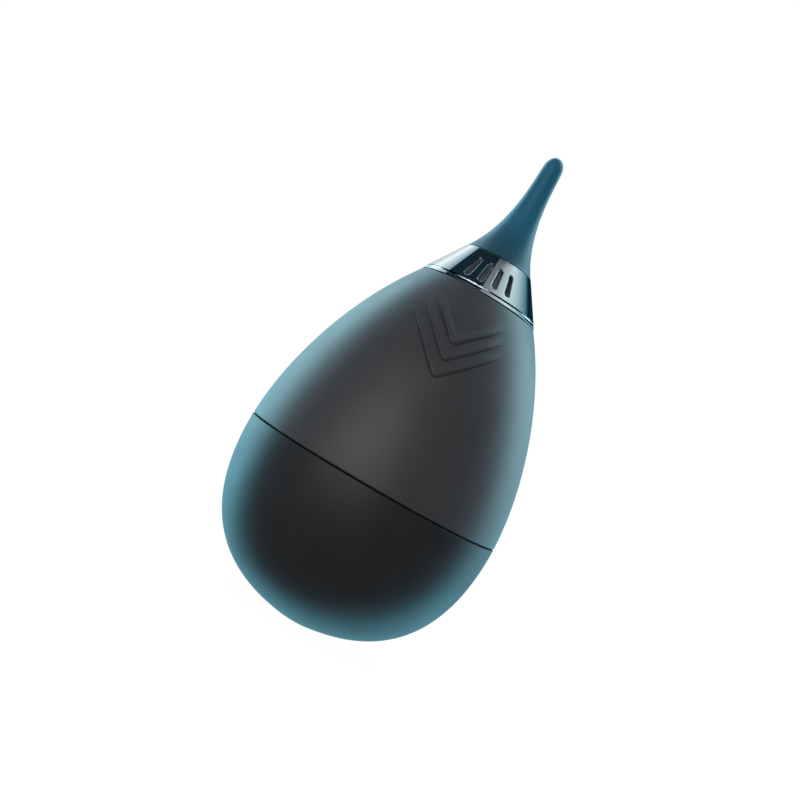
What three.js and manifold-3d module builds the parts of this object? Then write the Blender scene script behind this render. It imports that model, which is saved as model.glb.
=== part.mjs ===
// Bulb nasal aspirator: a weighted base cup, a squeeze bulb, a vented valve head and a soft nozzle.
// Millimetres. +Z runs up the axis from the flat foot to the nozzle tip, and the front faces -Y.

import * as THREE from 'three';
import { mergeVertices } from 'three/addons/utils/BufferGeometryUtils.js';
import Module from 'manifold-3d';

// ---- Driving dimensions ----------------------------------------------------------------------

// Outer outline of the egg: flat foot, widest girdle, and the neck under the collar.
const FOOT_RADIUS = 6;
const MAX_RADIUS = 33;
const WIDEST_Z = 36;
const NECK_RADIUS = 15.17;
const NECK_Z = 87.87;
const FOOT_HANDLE = [14.13, 2.02];
const BELLY_HANDLE_DROP = 30.15;
const SHOULDER_HANDLE_RISE = 12.95;
const NECK_HANDLE = [28.21, 70.12];

// Joint between the hard cup and the soft bulb.
const WALL = 2.4;
const SEAM_LOWER_Z = 37.62;
const SEAM_UPPER_Z = 37.97;
const SPIGOT = { inner: 25.4, outer: 27.7, shelfZ: 35.9, cornerZ: 32.8, topZ: 42.8, chamfer: 0.5 };
const SEAM_GROOVE = { lowZ: 39.75, highZ: 41.05, radius: 26.7 };
const SEAM_O_RING = { radius: 27.3, section: 0.5, z: 40.4 };
const SEAM_RING = { inner: 28, lowOuter: 30.35, highOuter: 29.45, topZ: 43.6 };

// Ballast in the cup.
const SCREW_COUNT = 3;
const SCREW_CIRCLE = 15.5;
const BOSS = { radius: 3, topZ: 10.3, hole: 1.35, holeBottomZ: 5 };
const WEIGHT = { clearance: 0.25, topZ: 10.3, bossClearance: 0.3 };
const COVER = { bottomZ: 10.5, floorZ: 11.9, rimZ: 13, root: 21.6, rim: 23.4, lipZ: 12.4, hole: 1.4 };
const COVER_SEAL = { radius: 22.35, section: 0.55, z: 11.75 };
const SCREW = { shank: 1.1, tipZ: 5.4, headLowZ: 12.02, headHighZ: 13.4, head: 2.5, socket: 1.1 };
const SCREW_SOCKET_DEPTH = 0.8;

// Bulb mouth and the clamp that holds it.
const BULB_TOP_Z = 87.6;
const MOUTH_RADIUS = 9.8;
const LIP_UNDERSIDE_Z = 85.2;
const NECK = { bore: 7.9, tube: 9.5, flange: 13.5, lowZ: 82.8, flangeZ: 85.05, topZ: 88.3 };
const BEAD = { lowZ: 87.75, topZ: 88.85, low: 15.2, crest: 15.4, crestZ: 88, high: 14.6 };
const GASKET = { inner: 8.1, outer: 9.3, lowZ: 88.42, highZ: 88.92 };

// Valve plug: threaded skirt, seat and rim.
const PLUG = { lowZ: 83.6, skirtInner: 6.5, crest: 7.7, root: 7.35, threadTopZ: 88.1 };
const PLATE = { lowZ: 89.05, rimZ: 89.85, seatZ: 90.1, rim: 12.1, seat: 8.6, hole: 3.3 };
const THREAD_PITCH = 1.5;
const THREAD_TURNS = 3;
const PORT_COUNT = 8;
const PORT = { circle: 5.3, radius: 0.85 };
const FLAP = { inner: 3.35, outer: 7.8, lowZ: 90.22, highZ: 90.72 };
const RETAINER = { inner: 3.15, outer: 5.2, lowZ: 91.75, highZ: 92.6, chamfer: 0.3 };

// Air tube through the valve plug, and its two seals.
const TUBE = { bore: 1.8, outer: 3, lowZ: 80.5, topZ: 104.3, chamfer: 0.4, drip: 1 };
const TUBE_FLANGE = { radius: 4.1, lowZ: 87.2, highZ: 88.2 };
const TUBE_GROOVE = { radius: 2.45, lowZ: 101.9, highZ: 102.8 };
const TUBE_O_RING = { radius: 3.72, section: 0.3, z: 88.625 };
const SPIGOT_O_RING = { radius: 2.87, section: 0.3, z: 102.35 };

// Vented collar with its screen and foam.
const COLLAR = { lowZ: 89, topZ: 97.8, low: 14.67, top: 8.91, wall: 1.2, bore: 12.4, roofZ: 96.6, hole: 3.5 };
const SLOT = { lowZ: 89.9, highZ: 95.3, lowWidth: 1.66, highWidth: 1.28, pitch: 15, depth: 6 };
const SLOTS_PER_SIDE = 4;
const FILTER = { lowZ: 90, highZ: 96.3, gap: 0.2, screen: 0.35, foam: 1.6 };

// Soft nozzle: flared skirt, slim waist and rounded tip.
const NOZZLE = { lowZ: 97.95, base: 8.75, recess: 6.6, recessZ: 101.2, socket: 3.3, socketZ: 104.7 };
const NOZZLE_WAIST_HANDLE = [2.02, 107.72];
const NOZZLE_TIP_HANDLE = [2.78, 121.23];
const NOZZLE_TIP = { radius: 2.41, z: 123.7, height: 3.45, bore: 0.9, mouth: 1.0 };
const NOZZLE_BORE_START = { radius: 1.4, z: 105.3 };
const NOZZLE_EDGE = 0.15;

// Facets round the axis and along the curves.
const SHELL_FACETS = 32;
const FITTING_FACETS = 20;
const HOLE_FACETS = 8;
const RING_SIDES = 6;
const CUP_STEPS = 9;
const WEIGHT_STEPS = 5;
const BULB_STEPS = 10;
const NOZZLE_STEPS = 9;
const TIP_STEPS = 3;
const SLOT_ARC_STEPS = 3;

// ---- Finishes --------------------------------------------------------------------------------

const FINISHES = {
  cup: { color: 0x26272a, roughness: 0.6, metalness: 0 },
  bulb: { color: 0x3e3e42, roughness: 0.65, metalness: 0 },
  nozzle: { color: 0x22566e, roughness: 0.45, metalness: 0 },
  chrome: { color: 0xc4c9cd, roughness: 0.1, metalness: 1 },
  steel: { color: 0x8b8f92, roughness: 0.4, metalness: 1 },
  fitting: { color: 0x54585c, roughness: 0.5, metalness: 0 },
  tube: { color: 0xd9dcdd, roughness: 0.35, metalness: 0 },
  seal: { color: 0x1b1b1c, roughness: 0.75, metalness: 0 },
  flap: { color: 0xb9cfd4, roughness: 0.5, metalness: 0 },
  foam: { color: 0x8c9194, roughness: 0.95, metalness: 0 },
};

// ---- Solid helpers ---------------------------------------------------------------------------

const wasm = await Module();
wasm.setup();

// A solid of revolution about +Z from [radius, z] pairs listed anticlockwise.
// A profile that starts off the axis is closed into a ring.
function revolve(profile, facets) {
  const closed = profile[0][0] > 0 ? [...profile, profile[0]] : profile;
  const points = closed.map(([radius, z]) => new THREE.Vector2(radius, z));
  return new THREE.LatheGeometry(points, facets).rotateX(Math.PI / 2);
}

function oRing({ radius, section, z }, facets) {
  return new THREE.TorusGeometry(radius, section, RING_SIDES, facets).translate(0, 0, z);
}

// A plain cylinder on a vertical axis between two heights.
function rod(radius, lowZ, highZ, facets) {
  const height = highZ - lowZ;
  const geometry = new THREE.CylinderGeometry(radius, radius, height, facets);
  return geometry.rotateX(Math.PI / 2).translate(0, 0, lowZ + height / 2);
}

function toSolid(geometry) {
  const bare = geometry.index ? geometry.toNonIndexed() : geometry.clone();
  bare.deleteAttribute('normal');
  bare.deleteAttribute('uv');
  const merged = mergeVertices(bare, 1e-4);
  const corners = merged.index.array;
  const kept = [];
  for (let i = 0; i < corners.length; i += 3) {
    const [a, b, c] = corners.slice(i, i + 3);
    if (a !== b && b !== c && c !== a) {
      kept.push(a, b, c);
    }
  }
  return new wasm.Manifold(new wasm.Mesh({
    numProp: 3,
    vertProperties: merged.attributes.position.array,
    triVerts: new Uint32Array(kept),
  }));
}

function toGeometry(solid) {
  const mesh = solid.getMesh();
  const geometry = new THREE.BufferGeometry();
  geometry.setAttribute('position', new THREE.BufferAttribute(mesh.vertProperties, 3));
  geometry.setIndex(new THREE.BufferAttribute(mesh.triVerts, 1));
  const shaded = geometry.toNonIndexed();
  shaded.computeVertexNormals();
  return shaded;
}

// Cuts every tool out of a body.
function cut(body, tools) {
  const start = toSolid(body);
  return toGeometry(tools.reduce((solid, tool) => solid.subtract(toSolid(tool)), start));
}

// Copies of one geometry, evenly spaced on a circle about the axis, the first at +Y.
function aroundAxis(geometry, count, circle) {
  return Array.from({ length: count }, (_, i) => {
    const turn = (i * 2 * Math.PI) / count;
    return geometry.clone().translate(0, circle, 0).rotateZ(turn);
  });
}

// ---- Outline of the egg ----------------------------------------------------------------------

const outline = new THREE.Path();
outline.moveTo(FOOT_RADIUS, 0);
outline.bezierCurveTo(
  ...FOOT_HANDLE,
  MAX_RADIUS, WIDEST_Z - BELLY_HANDLE_DROP,
  MAX_RADIUS, WIDEST_Z,
);
outline.bezierCurveTo(
  MAX_RADIUS, WIDEST_Z + SHOULDER_HANDLE_RISE,
  ...NECK_HANDLE,
  NECK_RADIUS, NECK_Z,
);

// A point at fraction u of the outline, moved inwards along the normal by inset.
function wallPoint(u, inset) {
  const point = outline.getPointAt(u);
  const tangent = outline.getTangentAt(u);
  return [point.x - inset * tangent.y, point.y + inset * tangent.x];
}

// The fraction of the outline at which the inset wall reaches a height.
function fractionAt(z, inset) {
  let low = 0;
  let high = 1;
  for (let i = 0; i < 40; i += 1) {
    const middle = (low + high) / 2;
    if (wallPoint(middle, inset)[1] < z) {
      low = middle;
    } else {
      high = middle;
    }
  }
  return low;
}

// Evenly spaced wall points from one height up to another.
function wallPoints(lowZ, highZ, steps, inset = 0) {
  const first = fractionAt(lowZ, inset);
  const last = fractionAt(highZ, inset);
  return Array.from({ length: steps + 1 }, (_, i) =>
    wallPoint(first + ((last - first) * i) / steps, inset));
}

// ---- Base cup and its ballast ----------------------------------------------------------------

function baseCup() {
  const outer = wallPoints(0, SEAM_LOWER_Z, CUP_STEPS);
  const inner = wallPoints(0, SPIGOT.cornerZ, CUP_STEPS, WALL).reverse();
  const floorZ = inner.at(-1)[1];
  const shell = revolve([
    [0, 0],
    ...outer,
    [SPIGOT.outer, SEAM_LOWER_Z],
    [SPIGOT.outer, SEAM_GROOVE.lowZ],
    [SEAM_GROOVE.radius, SEAM_GROOVE.lowZ],
    [SEAM_GROOVE.radius, SEAM_GROOVE.highZ],
    [SPIGOT.outer, SEAM_GROOVE.highZ],
    [SPIGOT.outer, SPIGOT.topZ - SPIGOT.chamfer],
    [SPIGOT.outer - SPIGOT.chamfer, SPIGOT.topZ],
    [SPIGOT.inner, SPIGOT.topZ],
    [SPIGOT.inner, SPIGOT.shelfZ],
    ...inner,
    [0, floorZ],
  ], SHELL_FACETS);
  const filled = revolve([[0, 0], ...outer, [0, SEAM_LOWER_Z]], SHELL_FACETS);
  const envelope = toSolid(filled);
  const post = rod(BOSS.radius, 0, BOSS.topZ, FITTING_FACETS);
  const hole = rod(BOSS.hole, BOSS.holeBottomZ, BOSS.topZ + 1, HOLE_FACETS);
  let cup = toSolid(shell);
  for (const boss of aroundAxis(post, SCREW_COUNT, SCREW_CIRCLE)) {
    cup = cup.add(toSolid(boss).intersect(envelope));
  }
  for (const bore of aroundAxis(hole, SCREW_COUNT, SCREW_CIRCLE)) {
    cup = cup.subtract(toSolid(bore));
  }
  return toGeometry(cup);
}

function baseWeight() {
  const underside = wallPoints(0, WEIGHT.topZ, WEIGHT_STEPS, WALL + WEIGHT.clearance);
  const slug = revolve([
    [0, underside[0][1]],
    ...underside,
    [0, WEIGHT.topZ],
  ], SHELL_FACETS);
  const well = rod(BOSS.radius + WEIGHT.bossClearance, 0, WEIGHT.topZ + 1, FITTING_FACETS);
  return cut(slug, aroundAxis(well, SCREW_COUNT, SCREW_CIRCLE));
}

function weightCover() {
  const tray = revolve([
    [0, COVER.bottomZ],
    [COVER.root, COVER.bottomZ],
    [COVER.root, COVER.lipZ],
    [COVER.rim, COVER.lipZ],
    [COVER.rim, COVER.rimZ],
    [COVER.root, COVER.rimZ],
    [COVER.root - WALL / 2, COVER.floorZ],
    [0, COVER.floorZ],
  ], SHELL_FACETS);
  const hole = rod(COVER.hole, COVER.bottomZ - 1, COVER.rimZ, HOLE_FACETS);
  return cut(tray, aroundAxis(hole, SCREW_COUNT, SCREW_CIRCLE));
}

function weightScrew() {
  const headEdge = (SCREW.headHighZ - SCREW.headLowZ) / 2;
  const body = revolve([
    [0, SCREW.tipZ],
    [SCREW.shank, SCREW.tipZ + SCREW.shank],
    [SCREW.shank, SCREW.headLowZ],
    [SCREW.head, SCREW.headLowZ],
    [SCREW.head, SCREW.headHighZ - headEdge],
    [SCREW.head - headEdge, SCREW.headHighZ],
    [0, SCREW.headHighZ],
  ], HOLE_FACETS);
  const lowZ = SCREW.headHighZ - SCREW_SOCKET_DEPTH;
  return cut(body, [rod(SCREW.socket, lowZ, SCREW.headHighZ + 1, 6)]);
}

// ---- Squeeze bulb and its clamp --------------------------------------------------------------

function seamRing() {
  return revolve([
    [SEAM_RING.inner, SEAM_UPPER_Z],
    [SEAM_RING.lowOuter, SEAM_UPPER_Z],
    [SEAM_RING.highOuter, SEAM_RING.topZ],
    [SEAM_RING.inner, SEAM_RING.topZ],
  ], SHELL_FACETS);
}

function squeezeBulb() {
  return revolve([
    ...wallPoints(SEAM_UPPER_Z, BULB_TOP_Z, BULB_STEPS),
    [MOUTH_RADIUS, BULB_TOP_Z],
    [MOUTH_RADIUS, LIP_UNDERSIDE_Z],
    ...wallPoints(SEAM_UPPER_Z, LIP_UNDERSIDE_Z, BULB_STEPS, WALL).reverse(),
  ], SHELL_FACETS);
}

function neckInsert() {
  return revolve([
    [NECK.bore, NECK.lowZ],
    [NECK.flange, NECK.lowZ],
    [NECK.flange, NECK.flangeZ],
    [NECK.tube, NECK.flangeZ],
    [NECK.tube, NECK.topZ],
    [NECK.bore, NECK.topZ],
  ], SHELL_FACETS);
}

function clampRing() {
  return revolve([
    [MOUTH_RADIUS, BEAD.lowZ],
    [BEAD.low, BEAD.lowZ],
    [BEAD.crest, BEAD.crestZ],
    [(BEAD.crest + BEAD.high) / 2, (BEAD.crestZ + BEAD.topZ) / 2],
    [BEAD.high, BEAD.topZ],
    [MOUTH_RADIUS, BEAD.topZ],
  ], SHELL_FACETS);
}

function neckGasket() {
  return revolve([
    [GASKET.inner, GASKET.lowZ],
    [GASKET.outer, GASKET.lowZ],
    [GASKET.outer, GASKET.highZ],
    [GASKET.inner, GASKET.highZ],
  ], SHELL_FACETS);
}

// ---- Valve plug and air tube -----------------------------------------------------------------

// Ring ridges that stand for the thread, from the bottom of the skirt upwards.
function threadRidges() {
  const flank = THREAD_PITCH / 4;
  return Array.from({ length: THREAD_TURNS }, (_, i) => {
    const startZ = PLUG.lowZ + i * THREAD_PITCH;
    return [
      [PLUG.root, startZ],
      [PLUG.crest, startZ + flank],
      [PLUG.crest, startZ + 2 * flank],
      [PLUG.root, startZ + 3 * flank],
    ];
  }).flat();
}

function valvePlate() {
  const plug = revolve([
    [PLUG.skirtInner, PLUG.lowZ],
    ...threadRidges(),
    [PLUG.root, PLUG.threadTopZ],
    [PLUG.crest, PLATE.lowZ],
    [PLATE.rim, PLATE.lowZ],
    [PLATE.rim, PLATE.rimZ],
    [PLATE.seat, PLATE.rimZ],
    [PLATE.seat, PLATE.seatZ],
    [PLATE.hole, PLATE.seatZ],
    [PLATE.hole, PLATE.lowZ],
    [PLUG.skirtInner, PLATE.lowZ],
  ], SHELL_FACETS);
  const port = rod(PORT.radius, PLATE.lowZ - 1, PLATE.seatZ + 1, HOLE_FACETS);
  return cut(plug, aroundAxis(port, PORT_COUNT, PORT.circle));
}

function airTube() {
  return revolve([
    [TUBE.bore, TUBE.lowZ],
    [TUBE.bore + TUBE.chamfer, TUBE.lowZ],
    [TUBE.outer, TUBE.lowZ + TUBE.drip],
    [TUBE.outer, TUBE_FLANGE.lowZ],
    [TUBE_FLANGE.radius, TUBE_FLANGE.lowZ],
    [TUBE_FLANGE.radius, TUBE_FLANGE.highZ],
    [TUBE.outer, TUBE_FLANGE.highZ],
    [TUBE.outer, TUBE_GROOVE.lowZ],
    [TUBE_GROOVE.radius, TUBE_GROOVE.lowZ],
    [TUBE_GROOVE.radius, TUBE_GROOVE.highZ],
    [TUBE.outer, TUBE_GROOVE.highZ],
    [TUBE.outer, TUBE.topZ - TUBE.chamfer],
    [TUBE.outer - TUBE.chamfer, TUBE.topZ],
    [TUBE.bore, TUBE.topZ],
  ], FITTING_FACETS);
}

function ventFlap() {
  return revolve([
    [FLAP.inner, FLAP.lowZ],
    [FLAP.outer, FLAP.lowZ],
    [FLAP.outer, FLAP.highZ],
    [FLAP.inner, FLAP.highZ],
  ], FITTING_FACETS);
}

function flapRetainer() {
  return revolve([
    [RETAINER.inner, RETAINER.lowZ],
    [RETAINER.outer, RETAINER.lowZ],
    [RETAINER.outer, RETAINER.highZ - RETAINER.chamfer],
    [RETAINER.outer - RETAINER.chamfer, RETAINER.highZ],
    [RETAINER.inner, RETAINER.highZ],
  ], FITTING_FACETS);
}

// ---- Collar and filter -----------------------------------------------------------------------

const collarLean = Math.atan2(COLLAR.low - COLLAR.top, COLLAR.topZ - COLLAR.lowZ);
const collarRadialWall = COLLAR.wall / Math.cos(collarLean);

// Radius of the collar's outer cone at a height.
function coneRadius(z) {
  return COLLAR.low - (z - COLLAR.lowZ) * Math.tan(collarLean);
}

// Height at which the collar's inner cone meets its straight bore.
const boreTopZ = COLLAR.lowZ + (COLLAR.low - collarRadialWall - COLLAR.bore) / Math.tan(collarLean);

// A slot cutter: a tapered stadium with its length along local +Y, extruded along local +Z.
function slotCutter() {
  const length = (SLOT.highZ - SLOT.lowZ) / Math.cos(collarLean);
  const lowRadius = SLOT.lowWidth / 2;
  const highRadius = SLOT.highWidth / 2;
  const shape = new THREE.Shape();
  shape.absarc(0, lowRadius - length / 2, lowRadius, Math.PI, 2 * Math.PI, false);
  shape.absarc(0, length / 2 - highRadius, highRadius, 0, Math.PI, false);
  shape.closePath();
  const settings = { depth: SLOT.depth, bevelEnabled: false, curveSegments: SLOT_ARC_STEPS };
  return new THREE.ExtrudeGeometry(shape, settings).translate(0, 0, -SLOT.depth / 2);
}

// The placement of a slot that faces the given angle from the front, on the leaning wall.
function slotPlacement(angle) {
  const middleZ = (SLOT.lowZ + SLOT.highZ) / 2;
  const outward = new THREE.Vector3(Math.sin(angle), -Math.cos(angle), 0);
  const across = new THREE.Vector3(Math.cos(angle), Math.sin(angle), 0);
  const up = new THREE.Vector3(0, 0, 1);
  const along = up.clone().multiplyScalar(Math.cos(collarLean));
  along.addScaledVector(outward, -Math.sin(collarLean));
  const normal = new THREE.Vector3().crossVectors(across, along);
  const placement = new THREE.Matrix4().makeBasis(across, along, normal);
  const centre = outward.multiplyScalar(coneRadius(middleZ)).addScaledVector(up, middleZ);
  return placement.setPosition(centre);
}

function collar() {
  const cone = revolve([
    [COLLAR.bore, COLLAR.lowZ],
    [COLLAR.low, COLLAR.lowZ],
    [COLLAR.top, COLLAR.topZ],
    [COLLAR.hole, COLLAR.topZ],
    [COLLAR.hole, COLLAR.roofZ],
    [coneRadius(COLLAR.roofZ) - collarRadialWall, COLLAR.roofZ],
    [COLLAR.bore, boreTopZ],
  ], SHELL_FACETS);
  const cutters = [];
  for (const side of [0, Math.PI]) {
    for (let i = 0; i < SLOTS_PER_SIDE; i += 1) {
      const step = i - (SLOTS_PER_SIDE - 1) / 2;
      const angle = side + THREE.MathUtils.degToRad(step * SLOT.pitch);
      cutters.push(slotCutter().applyMatrix4(slotPlacement(angle)));
    }
  }
  return cut(cone, cutters);
}

// A conical sleeve behind the collar wall, set in by a radial distance.
function filterSleeve(inset, thickness) {
  const lowOuter = COLLAR.bore - FILTER.gap - inset;
  const highOuter = coneRadius(FILTER.highZ) - collarRadialWall - FILTER.gap - inset;
  return revolve([
    [lowOuter - thickness, FILTER.lowZ],
    [lowOuter, FILTER.lowZ],
    [lowOuter, boreTopZ],
    [highOuter, FILTER.highZ],
    [highOuter - thickness, FILTER.highZ],
    [lowOuter - thickness, boreTopZ],
  ], SHELL_FACETS);
}

function filterScreen() {
  return filterSleeve(0, FILTER.screen);
}

function filterFoam() {
  return filterSleeve(FILTER.screen + FILTER.gap, FILTER.foam);
}

// ---- Nozzle ----------------------------------------------------------------------------------

function nozzle() {
  const side = new THREE.CubicBezierCurve(
    new THREE.Vector2(NOZZLE.base, NOZZLE.lowZ),
    new THREE.Vector2(...NOZZLE_WAIST_HANDLE),
    new THREE.Vector2(...NOZZLE_TIP_HANDLE),
    new THREE.Vector2(NOZZLE_TIP.radius, NOZZLE_TIP.z),
  );
  const flank = side.getSpacedPoints(NOZZLE_STEPS).slice(1).map((point) => [point.x, point.y]);
  const mouthAngle = Math.acos(NOZZLE_TIP.mouth / NOZZLE_TIP.radius);
  const dome = Array.from({ length: TIP_STEPS }, (_, i) => {
    const angle = (mouthAngle * (i + 1)) / TIP_STEPS;
    return [
      NOZZLE_TIP.radius * Math.cos(angle),
      NOZZLE_TIP.z + NOZZLE_TIP.height * Math.sin(angle),
    ];
  });
  const domeTopZ = dome.at(-1)[1];
  return revolve([
    [NOZZLE.recess, NOZZLE.lowZ],
    [NOZZLE.base - 2 * NOZZLE_EDGE, NOZZLE.lowZ],
    [NOZZLE.base - NOZZLE_EDGE, NOZZLE.lowZ + NOZZLE_EDGE],
    ...flank,
    ...dome,
    [NOZZLE_TIP.bore, domeTopZ - NOZZLE_EDGE],
    [NOZZLE_BORE_START.radius, NOZZLE_BORE_START.z],
    [NOZZLE.socket, NOZZLE.socketZ],
    [NOZZLE.socket, NOZZLE.recessZ],
  ], FITTING_FACETS);
}

// ---- Assembly --------------------------------------------------------------------------------

function addPiece(group, name, geometry, finish) {
  const mesh = new THREE.Mesh(geometry, new THREE.MeshStandardMaterial(finish));
  mesh.name = name;
  group.add(mesh);
  return mesh;
}

function baseGroup() {
  const group = new THREE.Group();
  addPiece(group, 'base_cup', baseCup(), FINISHES.cup);
  addPiece(group, 'base_weight', baseWeight(), FINISHES.steel);
  addPiece(group, 'weight_cover', weightCover(), FINISHES.fitting);
  addPiece(group, 'weight_cover_seal', oRing(COVER_SEAL, SHELL_FACETS), FINISHES.seal);
  for (let i = 0; i < SCREW_COUNT; i += 1) {
    const turn = (i * 2 * Math.PI) / SCREW_COUNT;
    const screw = addPiece(group, `weight_screw_${i + 1}`, weightScrew(), FINISHES.steel);
    screw.position.set(-SCREW_CIRCLE * Math.sin(turn), SCREW_CIRCLE * Math.cos(turn), 0);
  }
  addPiece(group, 'seam_o_ring', oRing(SEAM_O_RING, SHELL_FACETS), FINISHES.seal);
  return group;
}

function bulbGroup() {
  const group = new THREE.Group();
  addPiece(group, 'seam_ring', seamRing(), FINISHES.fitting);
  addPiece(group, 'squeeze_bulb', squeezeBulb(), FINISHES.bulb);
  addPiece(group, 'neck_insert', neckInsert(), FINISHES.fitting);
  addPiece(group, 'clamp_ring', clampRing(), FINISHES.chrome);
  return group;
}

function valveGroup() {
  const group = new THREE.Group();
  addPiece(group, 'neck_gasket', neckGasket(), FINISHES.seal);
  addPiece(group, 'valve_plate', valvePlate(), FINISHES.fitting);
  addPiece(group, 'air_tube', airTube(), FINISHES.tube);
  addPiece(group, 'tube_o_ring', oRing(TUBE_O_RING, FITTING_FACETS), FINISHES.seal);
  addPiece(group, 'vent_flap', ventFlap(), FINISHES.flap);
  addPiece(group, 'flap_retainer', flapRetainer(), FINISHES.fitting);
  addPiece(group, 'spigot_o_ring', oRing(SPIGOT_O_RING, FITTING_FACETS), FINISHES.seal);
  return group;
}

function headGroup() {
  const group = new THREE.Group();
  addPiece(group, 'filter_foam', filterFoam(), FINISHES.foam);
  addPiece(group, 'filter_screen', filterScreen(), FINISHES.steel);
  addPiece(group, 'collar', collar(), FINISHES.chrome);
  addPiece(group, 'nozzle', nozzle(), FINISHES.nozzle);
  return group;
}

const aspirator = new THREE.Group();
aspirator.add(baseGroup(), bulbGroup(), valveGroup(), headGroup());

export default aspirator;
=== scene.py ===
"""Looks of the bulb nasal aspirator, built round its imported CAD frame. Metres, +Z up, front towards -Y."""

import math

import bmesh
import bpy
import numpy as np
from mathutils import Matrix, Vector


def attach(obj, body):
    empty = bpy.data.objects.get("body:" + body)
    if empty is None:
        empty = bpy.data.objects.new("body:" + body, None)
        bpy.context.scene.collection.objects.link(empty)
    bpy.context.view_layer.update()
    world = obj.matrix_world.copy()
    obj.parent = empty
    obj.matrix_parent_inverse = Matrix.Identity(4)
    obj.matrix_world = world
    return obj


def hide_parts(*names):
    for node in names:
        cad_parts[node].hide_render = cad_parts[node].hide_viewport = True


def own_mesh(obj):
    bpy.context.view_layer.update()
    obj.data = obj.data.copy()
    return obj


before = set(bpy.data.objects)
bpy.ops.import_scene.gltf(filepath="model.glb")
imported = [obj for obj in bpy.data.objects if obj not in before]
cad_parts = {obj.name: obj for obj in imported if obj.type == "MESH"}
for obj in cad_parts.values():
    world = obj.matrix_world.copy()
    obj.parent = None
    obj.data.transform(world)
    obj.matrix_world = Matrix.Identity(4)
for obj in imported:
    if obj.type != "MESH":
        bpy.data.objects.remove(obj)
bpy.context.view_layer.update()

MM = 0.001

# ---- Dimensions in millimetres, the same as the CAD part's ----

EGG_FOOT = ((6, 0), (14.13, 2.02), (33, 5.85), (33, 36))
EGG_SHOULDER = ((33, 36), (33, 48.95), (28.21, 70.12), (15.17, 87.87))
WALL = 2.4
SEAM_LOWER_Z = 37.62
SEAM_UPPER_Z = 37.97
SEAM_RELIEF = 0.1
SEAM_DEPTH = 0.7
SEAM_RIDGE_Z = 37.87
SEAM_OVERHANG = 0.5
SEAM_UNDERCUT = 0.3
SEAM_ROUNDING = ((0.0, 0.12), (0.05, 0.04), (0.1, 0.01), (0.2, 0.0))
SPIGOT_INNER = 25.4
SPIGOT_OUTER = 27.7
SPIGOT_SHELF_Z = 35.9
SPIGOT_CORNER_Z = 32.8
SPIGOT_TOP_Z = 42.8
SPIGOT_CHAMFER = 0.5
GROOVE_LOW_Z = 39.75
GROOVE_HIGH_Z = 41.05
GROOVE_RADIUS = 26.7
SCREW_COUNT = 3
SCREW_CIRCLE = 15.5
BOSS_RADIUS = 3
BOSS_TOP_Z = 10.3
BOSS_HOLE = 1.35
BOSS_HOLE_BOTTOM_Z = 5
WEIGHT_CLEARANCE = 0.25
WEIGHT_TOP_Z = 10.3
WEIGHT_WELL_RADIUS = 3.3
COVER_HOLE = 1.4
BULB_TOP_Z = 87.6
MOUTH_RADIUS = 9.8
LIP_UNDERSIDE_Z = 85.2
THREAD_LOW_Z = 83.6
THREAD_PITCH = 1.5
THREAD_HIGH_Z = 88.1
THREAD_ROOT = 7.35
THREAD_CREST = 7.7
THREAD_ROW = 0.09
THREAD_FLANK = 5.2
THREAD_FLAT = 1.9
THREAD_RUN_IN = 0.7
THREAD_RUN_OUT = (87.2, 87.9)
PORT_COUNT = 8
PORT_CIRCLE = 5.3
PORT_RADIUS = 0.85
CONE_LOW_Z = 89
CONE_TOP_Z = 97.8
CONE_LOW_RADIUS = 14.67
CONE_TOP_RADIUS = 8.91
CONE_WALL = 1.2
CONE_BORE = 12.4
CONE_ROOF_Z = 96.6
CONE_HOLE = 3.5
SLOT_LOW_Z = 89.9
SLOT_HIGH_Z = 95.3
SLOT_LOW_WIDTH = 1.66
SLOT_HIGH_WIDTH = 1.28
SLOT_PITCH = 15
SLOTS_PER_SIDE = 4
FILTER_LOW_Z = 90
FILTER_HIGH_Z = 96.3
FILTER_GAP = 0.2
SCREEN_THICKNESS = 0.35
FOAM_THICKNESS = 1.6
NOZZLE_SIDE = ((8.75, 97.95), (2.02, 107.72), (2.78, 121.23), (2.41, 123.7))
NOZZLE_TIP_RADIUS = 2.41
NOZZLE_TIP_Z = 123.7
NOZZLE_TIP_HEIGHT = 3.45
NOZZLE_MOUTH = 1.0
NOZZLE_BORE = 0.9
DOME_STEPS = 14

# ---- Generic mesh helpers ----

FILLET_STEPS = 4
FILLET_SHARE = 0.42
FILLET_HOLD = 1.25
SHARP_ANGLE = 32
ON_AXIS = 1e-6


def bezier(controls, count):
    """Points of a cubic curve, evenly spaced along its length."""
    p0, p1, p2, p3 = (np.array(p, float) for p in controls)
    t = np.linspace(0, 1, 400)[:, None]
    curve = (1 - t) ** 3 * p0 + 3 * (1 - t) ** 2 * t * p1 + 3 * (1 - t) * t**2 * p2 + t**3 * p3
    length = np.concatenate([[0], np.cumsum(np.linalg.norm(np.diff(curve, axis=0), axis=1))])
    wanted = np.linspace(0, length[-1], count)
    return np.stack([np.interp(wanted, length, curve[:, k]) for k in range(2)], axis=1)


def outline():
    """The egg's outer profile from foot to neck."""
    return np.concatenate([bezier(EGG_FOOT, 400)[:-1], bezier(EGG_SHOULDER, 400)])


OUTLINE = outline()


def inset_outline(inset):
    """The egg's profile moved inwards along its normal."""
    tangent = np.gradient(OUTLINE, axis=0)
    tangent /= np.linalg.norm(tangent, axis=1)[:, None]
    return OUTLINE + inset * np.stack([-tangent[:, 1], tangent[:, 0]], axis=1)


def wall_rows(heights, inset=0.0):
    """Profile points of the egg's wall at the given heights."""
    curve = inset_outline(inset)
    curve = curve[curve[:, 0] > 0]
    radii = np.interp(heights, curve[:, 1], curve[:, 0])
    return list(zip(radii, heights))


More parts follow.
